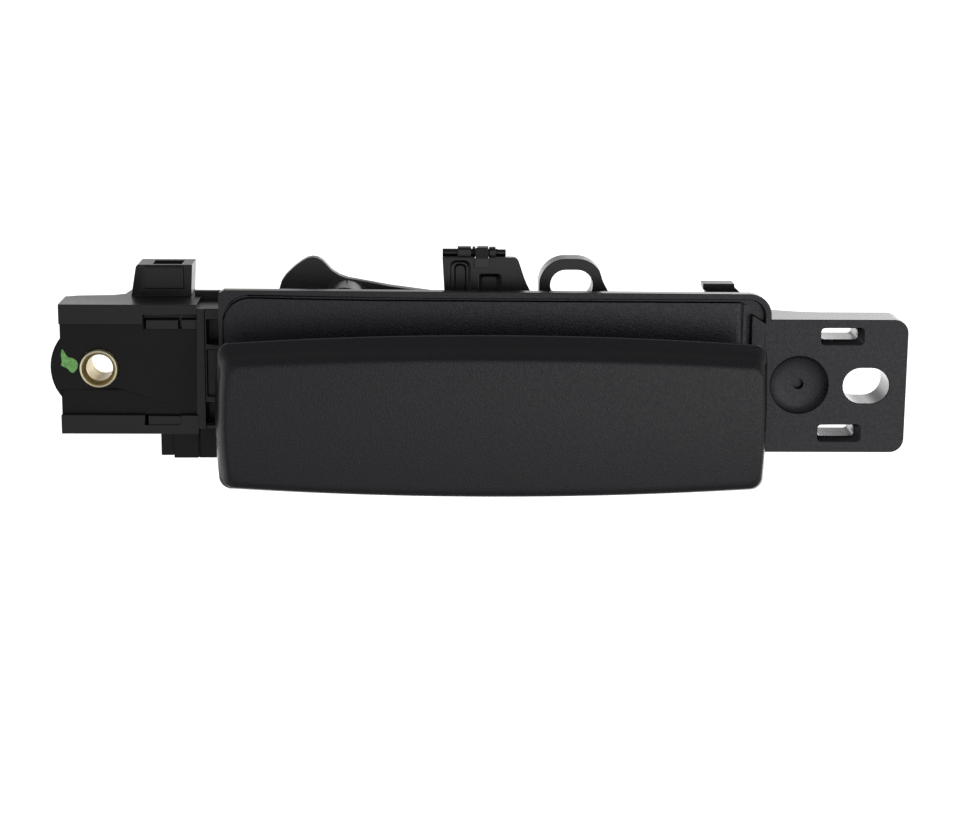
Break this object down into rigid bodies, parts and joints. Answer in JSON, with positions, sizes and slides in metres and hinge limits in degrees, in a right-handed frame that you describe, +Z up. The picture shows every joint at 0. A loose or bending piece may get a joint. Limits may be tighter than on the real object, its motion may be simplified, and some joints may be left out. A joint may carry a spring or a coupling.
{
  "type": "car door handle",
  "caption": "Flap-type outside door handle: textured bezel with finger pocket and fixing tab, carrier, hinged paddle, bell crank and side-impact lever.",
  "frame": {"origin": "on the brass sleeve's axis, at the plane that seats on the door", "axes": "+X along the handle, to the right seen from outside; +Y into the door; +Z up"},
  "size_m": [0.208, 0.0535, 0.0561],
  "materials": {
    "textured_black": "fine spark-textured moulded plastic, matte",
    "smooth_black": "moulded plastic, smoother, satin",
    "crank_black": "glass-filled moulded plastic, satin",
    "brass": "turned, bright",
    "plated_steel": "zinc plated",
    "spring_steel": "oiled spring steel",
    "dark_steel": "black passivated",
    "acetal": "natural acetal",
    "rubber": "moulded rubber, matte",
    "zinc": "die-cast zinc, dull"
  },
  "bodies": {
    "housing": {"bezel": "textured_black", "carrier": "smooth_black", "mounting_sleeve": "brass", "hinge_pin_left": "plated_steel", "hinge_pin_right": "plated_steel", "pin_retainer_left": "spring_steel", "pin_retainer_right": "spring_steel", "paddle_return_spring": "spring_steel", "bump_stop_left": "rubber", "bump_stop_right": "rubber", "bell_crank_pin": "plated_steel", "bell_crank_washer": "plated_steel", "bell_crank_clip": "spring_steel", "bell_crank_spring": "spring_steel", "cross_pin": "dark_steel", "impact_lever_spring": "spring_steel", "case_screw_1": "plated_steel", "case_screw_2": "plated_steel", "case_screw_3": "plated_steel", "case_screw_4": "plated_steel"},
    "paddle": {"paddle_shell": "textured_black", "paddle_backing": "smooth_black", "paddle_screw_left": "plated_steel", "paddle_screw_right": "plated_steel", "hinge_bush_left": "acetal", "hinge_bush_right": "acetal"},
    "crank": {"bell_crank": "crank_black"},
    "clip": {"rod_clip": "acetal"},
    "side_impact_lever": {"impact_lever": "crank_black", "counterweight": "zinc"}
  },
  "joints": [
    {"name": "paddle_hinge", "type": "hinge", "parent": "housing", "child": "paddle", "pos_m": [0.0955, -0.015, 0.0053], "axis": [-1, 0, 0], "range_deg": [0, 28], "stiffness_Nm_per_rad": 0.6, "springref_deg": -28.65},
    {"name": "bell_crank_pivot", "type": "hinge", "parent": "housing", "child": "crank", "pos_m": [0.0607, -0.0016, 0.0158], "axis": [0, 1, 0], "range_deg": [0, 16.5], "stiffness_Nm_per_rad": 0.02, "springref_deg": -17.19},
    {"name": "rod_clip_swivel", "type": "hinge", "parent": "crank", "child": "clip", "pos_m": [0.055, 0.003, -0.006], "axis": [0, 1, 0], "range_deg": [-40, 40]},
    {"name": "impact_lever_pivot", "type": "hinge", "parent": "housing", "child": "side_impact_lever", "pos_m": [0.0935, -0.0104, 0.0288], "axis": [1, 0, 0], "range_deg": [-20, 0], "stiffness_Nm_per_rad": 0.002, "springref_deg": 28.65}
  ],
  "couplings": [
    {"joint": "bell_crank_pivot", "follows": "paddle_hinge", "ratio": 0.58}
  ]
}
